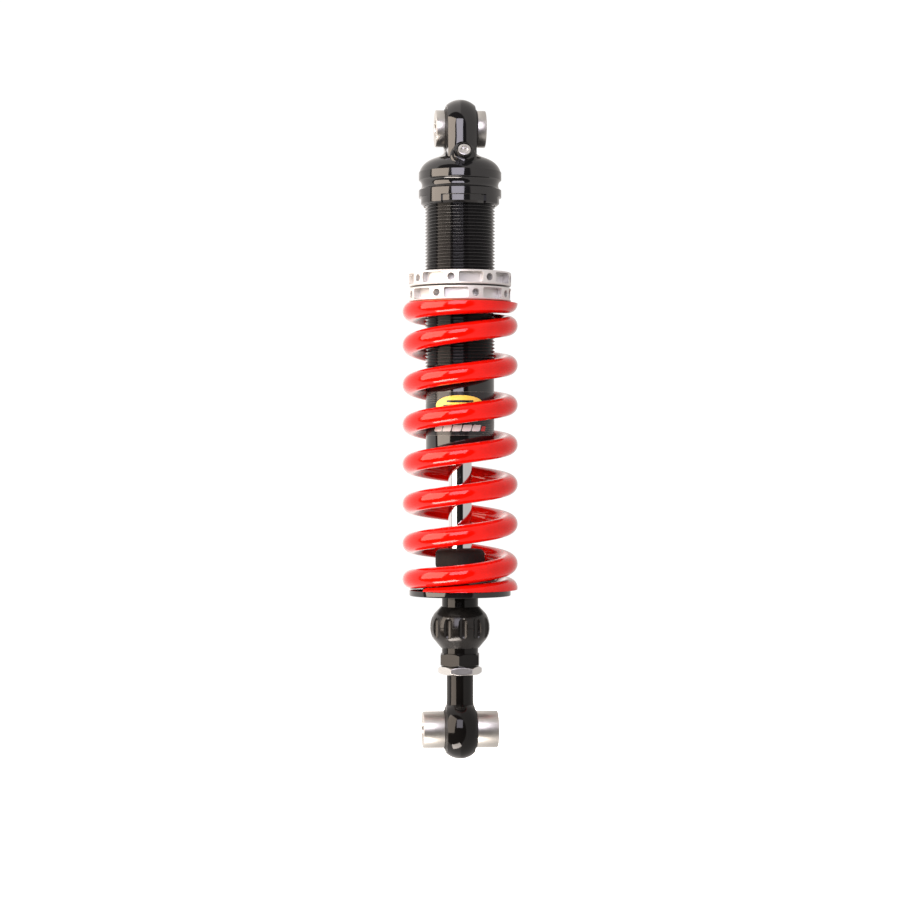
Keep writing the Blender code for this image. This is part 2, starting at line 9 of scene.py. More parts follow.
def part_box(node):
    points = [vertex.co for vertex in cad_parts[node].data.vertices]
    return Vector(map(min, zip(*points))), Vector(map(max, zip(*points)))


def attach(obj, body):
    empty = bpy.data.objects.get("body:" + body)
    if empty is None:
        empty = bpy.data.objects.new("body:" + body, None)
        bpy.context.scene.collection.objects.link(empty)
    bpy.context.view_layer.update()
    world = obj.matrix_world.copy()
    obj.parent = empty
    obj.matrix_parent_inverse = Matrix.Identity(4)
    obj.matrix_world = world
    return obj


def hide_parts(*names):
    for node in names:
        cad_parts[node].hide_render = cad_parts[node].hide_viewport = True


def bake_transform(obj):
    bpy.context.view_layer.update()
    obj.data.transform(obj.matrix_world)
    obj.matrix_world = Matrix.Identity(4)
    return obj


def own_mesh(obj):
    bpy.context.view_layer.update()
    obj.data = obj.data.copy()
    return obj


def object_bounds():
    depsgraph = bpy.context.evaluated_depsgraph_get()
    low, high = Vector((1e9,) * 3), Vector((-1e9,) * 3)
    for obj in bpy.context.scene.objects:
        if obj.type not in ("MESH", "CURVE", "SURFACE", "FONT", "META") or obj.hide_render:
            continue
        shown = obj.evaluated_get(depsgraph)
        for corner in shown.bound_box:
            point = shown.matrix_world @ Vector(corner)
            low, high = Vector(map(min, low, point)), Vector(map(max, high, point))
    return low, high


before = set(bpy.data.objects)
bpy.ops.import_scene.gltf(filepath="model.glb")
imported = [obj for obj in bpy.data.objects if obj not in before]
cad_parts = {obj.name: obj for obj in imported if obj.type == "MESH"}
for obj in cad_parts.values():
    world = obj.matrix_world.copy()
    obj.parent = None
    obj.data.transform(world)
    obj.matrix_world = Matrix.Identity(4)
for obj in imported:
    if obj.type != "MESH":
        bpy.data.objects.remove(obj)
cad_low, cad_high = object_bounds()
MM = 0.001


# Bolt spacers of both eyes.
# Top-hat sleeves turned from aluminium bar and clear anodised. Each one's spigot pushes into the
# bearing ball from its own side, and the bolt clamps the pair across the ball.
def eased(corners, size, arc=3):
    """A turned outline with every corner rounded by size."""
    points = []
    for i, corner in enumerate(corners):
        before = Vector(corners[i - 1])
        here = Vector(corner)
        after = Vector(corners[(i + 1) % len(corners)])
        into = here - before
        out = after - here
        if here.x < 1e-6 or min(into.length, out.length) < 1e-6:
            points.append(here)
            continue
        reach = min(size, into.length * 0.45, out.length * 0.45)
        first = here - into.normalized() * reach
        last = here + out.normalized() * reach
        for k in range(arc + 1):
            t = k / arc
            points.append(first * (1 - t) ** 2 + here * (2 * t * (1 - t)) + last * t ** 2)
    return points


def mesh_of(shape, name):
    """The mesh of a finished shape, with its faces turned outwards."""
    bmesh.ops.recalc_face_normals(shape, faces=shape.faces)
    mesh = bpy.data.meshes.new(name)
    shape.to_mesh(mesh)
    shape.free()
    return mesh


def turned(outline, steps=96):
    """A mesh turned around Z from radius and depth pairs that run right round its section."""
    shape = bmesh.new()
    rings = []
    for radius, depth in outline:
        if radius < 1e-6:
            rings.append([shape.verts.new((0, 0, -depth))] * steps)
            continue
        ring = []
        for i in range(steps):
            angle = math.tau * i / steps
            ring.append(shape.verts.new((radius * math.cos(angle), radius * math.sin(angle), -depth)))
        rings.append(ring)
    for upper, lower in zip(rings, rings[1:] + rings[:1]):
        for i in range(steps):
            j = (i + 1) % steps
            corners = list(dict.fromkeys((upper[i], upper[j], lower[j], lower[i])))
            if len(corners) > 2:
                shape.faces.new(corners)
    return mesh_of(shape, "turned")


def centre_of(node):
    low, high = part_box(node)
    return (low + high) / 2


def along_bolt(mesh, side, centre):
    """Lay a mesh turned around Z along the bolt, its depths running outwards on that side."""
    mesh.transform(Matrix.Translation(centre) @ Matrix.Rotation(math.radians(-90 * side), 4, "Y"))
    return mesh


def fitted(name, mesh, look, body, nodes, crease=32):
    """A dressed piece that rides on its body in place of the CAD nodes."""
    made = bpy.data.objects.new(name, mesh)
    bpy.context.scene.collection.objects.link(made)
    mesh.materials.clear()
    mesh.materials.append(look)
    mesh.shade_smooth()
    mesh.set_sharp_from_angle(angle=math.radians(crease))
    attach(made, body)
    if nodes:
        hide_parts(*nodes)
    return made


def new_look(name, colour, metallic, roughness):
    made = bpy.data.materials.new(name)
    made.use_nodes = True
    shader = made.node_tree.nodes["Principled BSDF"]
    shader.inputs["Base Color"].default_value = (*colour, 1)
    shader.inputs["Metallic"].default_value = metallic
    shader.inputs["Roughness"].default_value = roughness
    return made


def grain(look, per_metre, detail=4):
    """Noise stretched by a count of features per metre along X, Y and Z."""
    nodes = look.node_tree.nodes
    place = nodes.new("ShaderNodeTexCoord")
    stretch = nodes.new("ShaderNodeMapping")
    noise = nodes.new("ShaderNodeTexNoise")
    stretch.inputs["Scale"].default_value = per_metre
    noise.inputs["Scale"].default_value = 1
    noise.inputs["Detail"].default_value = detail
    look.node_tree.links.new(place.outputs["Object"], stretch.inputs["Vector"])
    look.node_tree.links.new(stretch.outputs["Vector"], noise.inputs["Vector"])
    return noise


def vary_roughness(look, noise, low, high):
    nodes = look.node_tree.nodes
    spread = nodes.new("ShaderNodeMapRange")
    spread.inputs["From Min"].default_value = 0.3
    spread.inputs["From Max"].default_value = 0.7
    spread.inputs["To Min"].default_value = low
    spread.inputs["To Max"].default_value = high
    look.node_tree.links.new(noise.outputs["Fac"], spread.inputs["Value"])
    look.node_tree.links.new(spread.outputs["Result"], nodes["Principled BSDF"].inputs["Roughness"])


def vary_colour(look, noise, first, second):
    nodes = look.node_tree.nodes
    ramp = nodes.new("ShaderNodeValToRGB")
    ramp.color_ramp.elements[0].position = 0.3
    ramp.color_ramp.elements[0].color = (*first, 1)
    ramp.color_ramp.elements[1].position = 0.7
    ramp.color_ramp.elements[1].color = (*second, 1)
    look.node_tree.links.new(noise.outputs["Fac"], ramp.inputs["Fac"])
    look.node_tree.links.new(ramp.outputs["Color"], nodes["Principled BSDF"].inputs["Base Color"])


def relief(look, noise, height):
    nodes = look.node_tree.nodes
    bump = nodes.new("ShaderNodeBump")
    bump.inputs["Distance"].default_value = height
    look.node_tree.links.new(noise.outputs["Fac"], bump.inputs["Height"])
    look.node_tree.links.new(bump.outputs["Normal"], nodes["Principled BSDF"].inputs["Normal"])


spacer_aluminium = new_look("spacer_aluminium", (0.535, 0.52, 0.492), 1, 0.36)
tool_marks = grain(spacer_aluminium, (1500, 500, 500))
vary_colour(spacer_aluminium, tool_marks, (0.52, 0.505, 0.478), (0.55, 0.535, 0.506))
vary_roughness(spacer_aluminium, tool_marks, 0.32, 0.38)

spacer_bore = 5.1 * MM
spacer_spigot = 7.5 * MM
spacer_collar = 9.05 * MM
spacer_flange = 11 * MM
spigot_start = 0.15 * MM
collar_start = 6.15 * MM
flange_start = 9.75 * MM
spacer_edge = 0.45 * MM
for eye, body in (("upper", "upper_mount"), ("lower", "lower_mount")):
    ball = centre_of(eye + "_ball")
    for word in ("left", "right"):
        low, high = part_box(f"{eye}_spacer_{word}")
        side = 1 if (low + high).x > 0 else -1
        reach = max(high.x, -low.x)
        section = eased([(spacer_spigot, spigot_start), (spacer_spigot, collar_start),
                         (spacer_collar, collar_start), (spacer_collar, flange_start),
                         (spacer_flange, flange_start), (spacer_flange, reach),
                         (spacer_bore, reach), (spacer_bore, spigot_start)], spacer_edge)
        sleeve = along_bolt(turned(section), side, ball)
        fitted(f"{eye}_bolt_spacer_{word}", sleeve, spacer_aluminium, body,
               [f"{eye}_spacer_{word}"])

# Dust seals of both eyes.
# Moulded nitrile rings that snap into the eye's bore on each side of the ball and stand just
# proud of the eye, against the spacer's flange.
seal_rubber = new_look("seal_rubber", (0.022, 0.021, 0.02), 0, 0.5)
moulding = grain(seal_rubber, (900, 900, 900))
vary_roughness(seal_rubber, moulding, 0.38, 0.6)
relief(seal_rubber, moulding, 0.03 * MM)

seal_lip = 9.25 * MM
seal_face = 11.75 * MM
seal_seat = 12.9 * MM
seal_proud = 1.1 * MM
seal_edge = 0.4 * MM
for eye, body in (("upper", "upper_mount"), ("lower", "lower_mount")):
    ball = centre_of(eye + "_ball")
    for word in ("left", "right"):
        low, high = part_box(f"{eye}_seal_{word}")
        side = 1 if (low + high).x > 0 else -1
        near = min(abs(low.x), abs(high.x))
        far = max(abs(low.x), abs(high.x))
        eye_face = far - seal_proud
        section = eased([(seal_seat, near), (seal_seat, eye_face), (seal_face, eye_face),
                         (seal_face, far), (seal_lip, far), (seal_lip, near)], seal_edge)
        ring = along_bolt(turned(section), side, ball)
        fitted(f"{eye}_dust_seal_{word}", ring, seal_rubber, body,
               [f"{eye}_seal_{word}"])

# Bearing balls, races and their circlips.
# Ground bearing steel: the race is pressed into the eye, held by a circlip on each side, and
# the ball turns in it behind the seals.
bearing_steel = new_look("bearing_steel", (0.5, 0.5, 0.5), 1, 0.18)
grinding = grain(bearing_steel, (2200, 120, 120))
vary_roughness(bearing_steel, grinding, 0.12, 0.26)
relief(bearing_steel, grinding, 0.006 * MM)


def dress(node, look):
    """Give a CAD node that keeps its own mesh its finish."""
    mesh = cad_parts[node].data
    mesh.materials.clear()
    mesh.materials.append(look)


for eye in ("upper", "lower"):
    for part in ("ball", "race", "circlip_left", "circlip_right"):
        dress(f"{eye}_{part}", bearing_steel)


# Head: eye, shoulder and grip bands of the damper's top cap.
# Turned and milled in one piece from aluminium bar, then gloss black anodised. It screws on to
# the tube, and the boss on its front takes the gas valve.
def combined(first, second, operation):
    """The mesh left when second is cut from, added to or shared with first."""
    blank = bpy.data.objects.new("blank", first)
    tool = bpy.data.objects.new("tool", second)
    for solid in (blank, tool):
        bpy.context.scene.collection.objects.link(solid)
    step = blank.modifiers.new("Machining", "BOOLEAN")
    step.operation = operation
    step.solver = "EXACT"
    step.object = tool
    ready = blank.evaluated_get(bpy.context.evaluated_depsgraph_get())
    mesh = bpy.data.meshes.new_from_object(ready)
    for solid in (blank, tool):
        bpy.data.objects.remove(solid)
    return mesh


def swept(start, first_handle, second_handle, end, count=12):
    """Points along one smooth curve of a turned outline."""
    points = []
    for k in range(count + 1):
        t = k / count
        ways = ((1 - t) ** 3, 3 * t * (1 - t) ** 2, 3 * t ** 2 * (1 - t), t ** 3)
        ends = (start, first_handle, second_handle, end)
        points.append(Vector((sum(w * p[0] for w, p in zip(ways, ends)),
                              sum(w * p[1] for w, p in zip(ways, ends)))))
    return points


black_anodised = new_look("black_anodised", (0.006, 0.006, 0.0065), 0, 0.1)
black_anodised.node_tree.nodes["Principled BSDF"].inputs["IOR"].default_value = 1.62
handling = grain(black_anodised, (140, 140, 140))
vary_roughness(black_anodised, handling, 0.05, 0.1)
relief(black_anodised, grain(black_anodised, (60, 60, 2600)), 0.0022 * MM)

eye_radius = 17.5 * MM
eye_crown = 12.6 * MM
eye_half = 8.5 * MM
bore_radius = 13.15 * MM


def rim_section():
    """The eye's crowned rim as across and radius pairs, with its edges broken."""
    edge = 0.45 * MM
    points = []
    for k in range(-8, 9):
        across = (eye_half - edge) * k / 8
        points.append((across, eye_radius - eye_crown + math.sqrt(eye_crown ** 2 - across ** 2)))
    drop = points[0][1] - edge * 0.9
    return [(-eye_half, drop)] + points + [(eye_half, drop)]


def eye_tool(centre):
    """The cutter of the bearing's bore, with a broken edge at both faces."""
    edge = 0.4 * MM
    clear = 1.5 * MM
    return along_bolt(turned([
        (0, -eye_half - clear),
        (bore_radius + clear + edge, -eye_half - clear),
        (bore_radius, -eye_half + edge),
        (bore_radius, eye_half - edge),
        (bore_radius + clear + edge, eye_half + clear),
        (0, eye_half + clear),
    ], 128), 1, centre)


def upper_arch(drop, turns=72):
    """The upper eye: round over the top and straight down by drop into the shoulder."""
    section = rim_section()
    rows = [(math.pi, drop)]
    for i in range(turns + 1):
        rows.append((math.pi * (1 - i / turns), 0))
    rows.append((0, drop))
    shape = bmesh.new()
    grid = []
    for angle, down in rows:
        row = []
        for across, radius in section:
            place = (across, radius * math.cos(angle), radius * math.sin(angle) - down)
            row.append(shape.verts.new(place))
        grid.append(row)
    for upper, lower in zip(grid, grid[1:]):
        for i in range(len(section) - 1):
            shape.faces.new((upper[i], upper[i + 1], lower[i + 1], lower[i]))
    shape.faces.new([row[0] for row in grid])
    shape.faces.new([row[-1] for row in reversed(grid)])
    shape.faces.new(list(reversed(grid[0])) + grid[-1])
    return mesh_of(shape, "arch")


head_low, head_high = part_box("head")
head_radius = head_high.x
head_bottom = -head_low.z
head_waist = head_radius - 2.2 * MM
head_step = head_radius - 1.3 * MM
socket_radius = 21.3 * MM
socket_top = 30 * MM
head_top = 10.5 * MM
shoulder_bend = (15.4 * MM, 17.7 * MM)
upper_grip = (26.1 * MM, 30.9 * MM)
lower_grip = 37 * MM
grip_edge = 0.3 * MM
head_chamfer = 0.8 * MM
arch_drop = 20 * MM
shoulder = swept((8.2 * MM, head_top), (8.6 * MM, 15 * MM), (11.2 * MM, 16.2 * MM), shoulder_bend)
shoulder += swept(shoulder_bend, (19.6 * MM, 19.2 * MM), (22.8 * MM, 21.2 * MM),
                  (head_radius - 0.5 * MM, 25.6 * MM))[1:]
groove = swept((head_radius - 0.4 * MM, 31.2 * MM), (head_waist, 32.4 * MM),
               (head_waist - 0.2 * MM, 35.8 * MM), (head_radius - 0.3 * MM, 36.8 * MM))
grips = eased([
    (head_radius, upper_grip[0]),
    (head_radius, upper_grip[1]),
    *groove,
    (head_radius, lower_grip),
    (head_radius, head_bottom - head_chamfer),
    (head_radius - head_chamfer, head_bottom),
    (socket_radius, head_bottom),
    (socket_radius, socket_top),
], grip_edge)
head_body = turned([(0, head_top)] + shoulder + grips + [(0, socket_top)], 160)
head_body = combined(head_body, upper_arch(arch_drop), "UNION")


def recess(section, facing, half, steps=24):
    """A cutter whose section is swept round Z to both sides of the way it faces."""
    shape = bmesh.new()
    rows = []
    for i in range(steps + 1):
        turn = facing + half * (2 * i / steps - 1)
        way = Vector((math.sin(turn), -math.cos(turn), 0))
        rows.append([shape.verts.new(way * radius - Vector((0, 0, depth)))
                     for radius, depth in section])
    for first, second in zip(rows, rows[1:]):
        for i in range(len(section)):
            j = (i + 1) % len(section)
            shape.faces.new((first[i], first[j], second[j], second[i]))
    shape.faces.new(rows[0])
    shape.faces.new(list(reversed(rows[-1])))
    return mesh_of(shape, "recess")


recess_top = 41.4 * MM
recess_slope = 0.25 * MM
recess_half = math.radians(33)
recess_count = 4
past_rim = head_radius + 1 * MM
past_foot = head_bottom + 0.6 * MM
recess_section = [
    (head_step + recess_slope, recess_top),
    (past_rim, recess_top - recess_slope),
    (past_rim, past_foot),
    (head_radius - 3.5 * MM, past_foot),
    (head_step, head_bottom - 1.3 * MM),
    (head_step, recess_top + recess_slope),
]
for i in range(recess_count):
    spanner_seat = recess(recess_section, math.tau * i / recess_count, recess_half)
    head_body = combined(head_body, spanner_seat, "DIFFERENCE")

valve_tilt = math.radians(26)
valve_axis = Vector((0, -math.cos(valve_tilt), math.sin(valve_tilt)))
valve_seat = Vector((0, -20 * MM, -17.9 * MM))
valve_turn = valve_axis.to_track_quat("Z", "Y").to_matrix().to_4x4()


def at_valve(mesh, along=0.0):
    """Stand a mesh turned around Z on the valve's axis, its depths running inwards."""
    mesh.transform(Matrix.Translation(valve_seat + valve_axis * along) @ valve_turn)
    return mesh


boss_radius = 7.9 * MM
boss_length = 9 * MM
boss_chamfer = 1 * MM
boss = at_valve(turned(eased([(0, 0), (boss_radius - boss_chamfer, 0), (boss_radius, boss_chamfer),
                              (boss_radius, boss_length), (0, boss_length)], 0.25 * MM), 80))
spot_radius = boss_radius + 0.5 * MM
spot_reach = 14 * MM
spot_face = at_valve(turned([(0, -spot_reach), (spot_radius, -spot_reach), (spot_radius, 0), (0, 0)], 80))
head_body = combined(head_body, boss, "UNION")
head_body = combined(head_body, spot_face, "DIFFERENCE")
head_body = combined(head_body, eye_tool(Vector((0, 0, 0))), "DIFFERENCE")


def break_edges(made, width, angle=40):
    """A narrow rounded break along the edges that machining leaves."""
    step = made.modifiers.new("Broken edges", "BEVEL")
    step.width = width
    step.segments = 2
    step.limit_method = "ANGLE"
    step.angle_limit = math.radians(angle)
    step.use_clamp_overlap = True
    step.harden_normals = True


fitted("head_cap", head_body, black_anodised, "damper_body", ["head"])


# Gas valve: plug and screw.
# A black anodised hex plug screwed into the boss, with a plated star-drive screw inside the
# round nose that closes the filling hole.
def spanner_hex(flats, top, bottom, turn=0.0):
    """An upright hexagon whose corners are turned down at a slant, as on a nut."""
    corner = flats / math.sqrt(3)
    shape = bmesh.new()
    place = Matrix.Translation((0, 0, -(top + bottom) / 2)) @ Matrix.Rotation(turn, 4, "Z")
    bmesh.ops.create_cone(shape, cap_ends=True, segments=6, radius1=corner, radius2=corner,
                          depth=bottom - top, matrix=place)
    mesh = bpy.data.meshes.new("hexagon")
    shape.to_mesh(mesh)
    shape.free()
    rim = flats / 2 * 0.97
    slant = math.radians(32)
    fall = (corner - rim) * math.tan(slant)
    past_corner = corner * 1.01
    outline = [(0, top), (rim, top), (past_corner, top + fall), (past_corner, bottom - fall),
               (rim, bottom), (0, bottom)]
    return combined(mesh, turned(outline, 120), "INTERSECT")


plug_flats = 12 * MM
plug_height = 3.6 * MM
plug_sunk = 0.15 * MM
nose_radius = 4.65 * MM
nose_height = 2.6 * MM
nose_edge = 0.3 * MM
nose_wall = 0.5 * MM
hollow_reach = 12 * MM
hollow_floor = 1 * MM
nose_top = -plug_height - nose_height
plug = spanner_hex(plug_flats, -plug_height, plug_sunk)
nose = turned(eased([(0, nose_top), (nose_radius, nose_top), (nose_radius, 0), (0, 0)], nose_edge), 80)
hollow_radius = nose_radius - nose_wall
hollow = turned([(0, -hollow_reach), (hollow_radius, -hollow_reach), (hollow_radius, -hollow_floor),
                 (0, -hollow_floor)], 80)
plug = combined(combined(plug, nose, "UNION"), hollow, "DIFFERENCE")
plug_object = fitted("gas_valve_hex", at_valve(plug), black_anodised, "damper_body",
                     ["gas_valve_plug"])
break_edges(plug_object, 0.15 * MM)

plated_steel = new_look("plated_steel", (0.66, 0.652, 0.635), 1, 0.3)
plating = grain(plated_steel, (350, 350, 350))
vary_colour(plated_steel, plating, (0.64, 0.632, 0.615), (0.68, 0.672, 0.655))
vary_roughness(plated_steel, plating, 0.28, 0.34)

star_points = 6
star_outer = 2.5 * MM
star_inner = 1.75 * MM
star_steps = star_points * 8
star_above = 1 * MM
star_length = 2.6 * MM
screw_top = nose_top + 0.45 * MM
screw_foot = -1.5 * MM
screw_radius = hollow_radius - 0.25 * MM
screw = turned(eased([(0, screw_top - 0.25 * MM), (1.5 * MM, screw_top - 0.2 * MM),
                      (screw_radius, screw_top), (screw_radius, screw_foot),
                      (0, screw_foot)], 0.35 * MM), 80)
shape = bmesh.new()
star = []
for i in range(star_steps):
    angle = math.tau * i / star_steps
    wave = (1 + math.cos(angle * star_points)) / 2
    radius = star_inner + (star_outer - star_inner) * wave
    star.append(shape.verts.new((radius * math.cos(angle), radius * math.sin(angle),
                                 -screw_top + star_above)))
socket = shape.faces.new(star)
pushed = bmesh.ops.extrude_face_region(shape, geom=[socket])
for moved in pushed["geom"]:
    if isinstance(moved, bmesh.types.BMVert):
        moved.co.z -= star_length
screw = combined(screw, mesh_of(shape, "star"), "DIFFERENCE")
fitted("gas_valve_star_screw", at_valve(screw), plated_steel, "damper_body",
       ["gas_valve_screw"])


# Damper tube.
# Aluminium tube, gloss black anodised: a fine rolled thread for the preload rings runs from
# under the head to the label, and the smooth end below it holds the seal head.
def threaded(crest, root, pitch, top, bottom, steps=96):
    """The outside of a right-handed thread as rows that follow its helix, run out at both ends."""
    foot = root + 0.1 * (crest - root)
    flank = crest - 0.08 * (crest - root)
    section = ((0, root), (0.08, foot), (0.42, flank), (0.47, crest), (0.53, crest),
               (0.58, flank), (0.92, foot))
    turns = math.ceil((bottom - top) / pitch) + 1
    shape = bmesh.new()
    rows = []
    for turn in range(-1, turns + 1):
        for share, radius in section:
            row = []
            for i in range(steps + 1):
                angle = math.tau * i / steps
                depth = top + (turn + share - i / steps) * pitch
                depth = min(max(depth, top), bottom)
                flat = radius if top < depth < bottom else root
                row.append(shape.verts.new((flat * math.cos(angle), flat * math.sin(angle), -depth)))
            rows.append(row)
    for upper, lower in zip(rows, rows[1:]):
        for i in range(steps):
            shape.faces.new((upper[i], upper[i + 1], lower[i + 1], lower[i]))
    bmesh.ops.remove_doubles(shape, verts=shape.verts, dist=0.002 * MM)
    flat_faces = [face for face in shape.faces if face.calc_area() < 1e-13]
    bmesh.ops.delete(shape, geom=flat_faces, context="FACES")
    return shape


tube_low, tube_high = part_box("tube")
thread_crest = 20.95 * MM
thread_root = 19.75 * MM
thread_pitch = 2 * MM
thread_top = -tube_high.z
thread_end = 143.5 * MM
smooth_radius = 20.5 * MM
tube_bore = 18 * MM
tube_bottom = -tube_low.z
foot_round = 0.8 * MM
bore_chamfer = 0.4 * MM
tube_mesh = turned([
    (tube_bore, thread_top), (thread_root, thread_top), (thread_root, thread_end - 0.1 * MM),
    (smooth_radius - 0.3 * MM, thread_end), (smooth_radius, thread_end + 0.6 * MM),
    (smooth_radius, tube_bottom - foot_round),
    (smooth_radius - 0.25 * MM, tube_bottom - 0.25 * MM), (smooth_radius - foot_round, tube_bottom),
    (tube_bore + bore_chamfer, tube_bottom), (tube_bore, tube_bottom - bore_chamfer)], 128)
shape = threaded(thread_crest, thread_root, thread_pitch, thread_top, thread_end)
shape.from_mesh(tube_mesh)
bmesh.ops.recalc_face_normals(shape, faces=shape.faces)
shape.to_mesh(tube_mesh)
shape.free()
fitted("damper_tube", tube_mesh, black_anodised, "damper_body", ["tube"], 50)

# Label on the smooth end of the tube.
# A glossy black printed film with rounded corners and a grey cut edge, stuck round the front: a
# yellow panel with three plain bars over a row of white blocks that ends in a small red one.
label_facing = math.radians(-6)
film_radius = smooth_radius + 0.09 * MM
film_depth = 0.12 * MM


def wrapped(half_width, half_height, squareness, depth, lift, aside=0.0, lean=0.0):
    """A thin patch with rounded corners, wrapped round the tube's front."""
    rings = 10
    sectors = 96
    shape = bmesh.new()
    rows = []
    for k in range(rings + 2):
        share = min(k, rings) / rings
        radius = film_radius + lift - (film_depth if k > rings else 0)
        row = []
        for i in range(sectors):
            angle = math.tau * i / sectors
            reach = (abs(math.cos(angle)) ** squareness + abs(math.sin(angle)) ** squareness)
            reach = share / reach ** (1 / squareness)
            up = half_height * reach * math.sin(angle)
            along = aside + half_width * reach * math.cos(angle) + lean * up
            turn = label_facing + along / radius
            row.append(shape.verts.new((radius * math.sin(turn), -radius * math.cos(turn),
                                        up - depth)))
            if k == 0:
                break
        rows.append(row * sectors if k == 0 else row)
    for inner, outer in zip(rows, rows[1:]):
        for i in range(sectors):
            j = (i + 1) % sectors
            shape.faces.new(list(dict.fromkeys((inner[i], outer[i], outer[j], inner[j]))))
    return mesh_of(shape, "patch")


def ink(name, colour, spread):
    """Screen-printed ink under a clear film."""
    made = new_look(name, colour, 0, 0.2)
    tone = grain(made, (500, 500, 500))
    vary_colour(made, tone, colour, spread)
    vary_roughness(made, tone, 0.14, 0.22)
    return made


label_top = 158 * MM
label_bottom = 184 * MM
label_film = ink("label_film", (0.012, 0.012, 0.013), (0.016, 0.016, 0.017))
label_edge = ink("label_edge", (0.1, 0.095, 0.09), (0.12, 0.11, 0.1))
yellow_ink = ink("yellow_ink", (0.9, 0.68, 0.1), (0.94, 0.73, 0.13))
white_ink = ink("white_ink", (0.85, 0.85, 0.85), (0.9, 0.9, 0.9))
red_ink = ink("red_ink", (0.6, 0.02, 0.02), (0.65, 0.03, 0.03))


def printed(name, mesh, look, nodes=()):
    """One layer of the label, which rides on the tube with the rest of it."""
    fitted(name, mesh, look, "damper_body", list(nodes))


film_half = 44 * MM
film_border = 0.25 * MM
film_corners = 14
sheet_lift = 0.03 * MM
label_middle = (label_top + label_bottom) / 2
label_half = (label_bottom - label_top) / 2
printed("label_border", wrapped(film_half, label_half, film_corners, label_middle, 0.0), label_edge,
        ["label"])
printed("label_sheet", wrapped(film_half - film_border, label_half - film_border, film_corners,
                               label_middle, sheet_lift), label_film)
panel_depth = 166.4 * MM
panel_half = (15.7 * MM, 6.2 * MM)
rim_half = (16.2 * MM, 6.7 * MM)
panel_corners = 2.1
rim_lift = 0.05 * MM
panel_lift = 0.07 * MM
printed("label_panel_rim", wrapped(*rim_half, panel_corners, panel_depth, rim_lift), label_film)
printed("label_panel", wrapped(*panel_half, panel_corners, panel_depth, panel_lift), yellow_ink)
bar_half_height = 0.7 * MM
bar_spacing = 2.6 * MM
bar_corners = 7
bar_lift = 0.09 * MM
for i, half_width in enumerate((8.2 * MM, 10.4 * MM, 8.2 * MM)):
    bar_depth = panel_depth + (i - 1) * bar_spacing
    bar = wrapped(half_width, bar_half_height, bar_corners, bar_depth, bar_lift)
    printed(f"label_bar_{i + 1}", bar, label_film)
stripe_depth = 179.6 * MM
stripe_half = (2.7 * MM, 1.9 * MM)
stripe_count = 5
stripe_spacing = 6 * MM
stripe_middle = 2.3
stripe_corners = 8
ink_lean = 0.3
ink_lift = 0.06 * MM
for i in range(stripe_count):
    aside = (i - stripe_middle) * stripe_spacing
    stripe = wrapped(*stripe_half, stripe_corners, stripe_depth, ink_lift, aside, ink_lean)
    printed(f"label_stripe_{i + 1}", stripe, white_ink)
tick_half = (1.6 * MM, 1.5 * MM)
tick_corners = 6
tick_depth = stripe_depth + 0.4 * MM
tick_aside = 15.2 * MM
tick = wrapped(*tick_half, tick_corners, tick_depth, ink_lift, tick_aside, ink_lean)
printed("label_tick", tick, red_ink)

# Seal head with its rod seal, wiper and circlip, and the parts inside the tube.
# The clear anodised seal head slides into the tube's end and a wire circlip holds it. The
# piston, its shims and nut, and the floating piston work in oil above it.
inner_aluminium = new_look("inner_aluminium", (0.72, 0.72, 0.7), 1, 0.35)
facing_marks = grain(inner_aluminium, (80, 80, 2400))
vary_roughness(inner_aluminium, facing_marks, 0.28, 0.42)
relief(inner_aluminium, facing_marks, 0.01 * MM)
bronze_band = new_look("bronze_band", (0.42, 0.28, 0.12), 0.4, 0.45)
bronze_flecks = grain(bronze_band, (1500, 1500, 1500))
vary_colour(bronze_band, bronze_flecks, (0.3, 0.2, 0.09), (0.5, 0.34, 0.15))
vary_roughness(bronze_band, bronze_flecks, 0.38, 0.55)
for node in ("seal_head", "floating_piston", "piston"):
    dress(node, inner_aluminium)
for node in ("rod_seal", "wiper", "floating_piston_ring", "top_out_spacer"):
    dress(node, seal_rubber)
for node in ("seal_head_circlip", "compression_shims", "rebound_shims"):
    dress(node, bearing_steel)
for node in ("rebound_plate", "piston_nut", "rebound_pushrod"):
    dress(node, plated_steel)
for node in ("piston_band", "slip_washer"):
    dress(node, bronze_band)

# Preload rings: lock ring above, adjuster below.
# Turned from aluminium, threaded inside and clear anodised to a bright satin. Eight pockets
# are milled round each to save weight, with a spanner hole on every land between them.
ring_aluminium = new_look("ring_aluminium", (0.66, 0.645, 0.63), 0.5, 0.4)
ring_marks = grain(ring_aluminium, (300, 300, 1500))
vary_colour(ring_aluminium, ring_marks, (0.64, 0.625, 0.61), (0.68, 0.665, 0.65))
vary_roughness(ring_aluminium, ring_marks, 0.36, 0.44)

ring_pockets = 8
pocket_width = 14.6 * MM
pocket_height = 6.2 * MM
pocket_depth = 5.2 * MM
pocket_corner = 1.3 * MM
spanner_hole = 4.4 * MM
drill_length = 13 * MM
ring_bore = 21.15 * MM
ring_chamfer = 0.5 * MM
bore_lead = 0.8 * MM


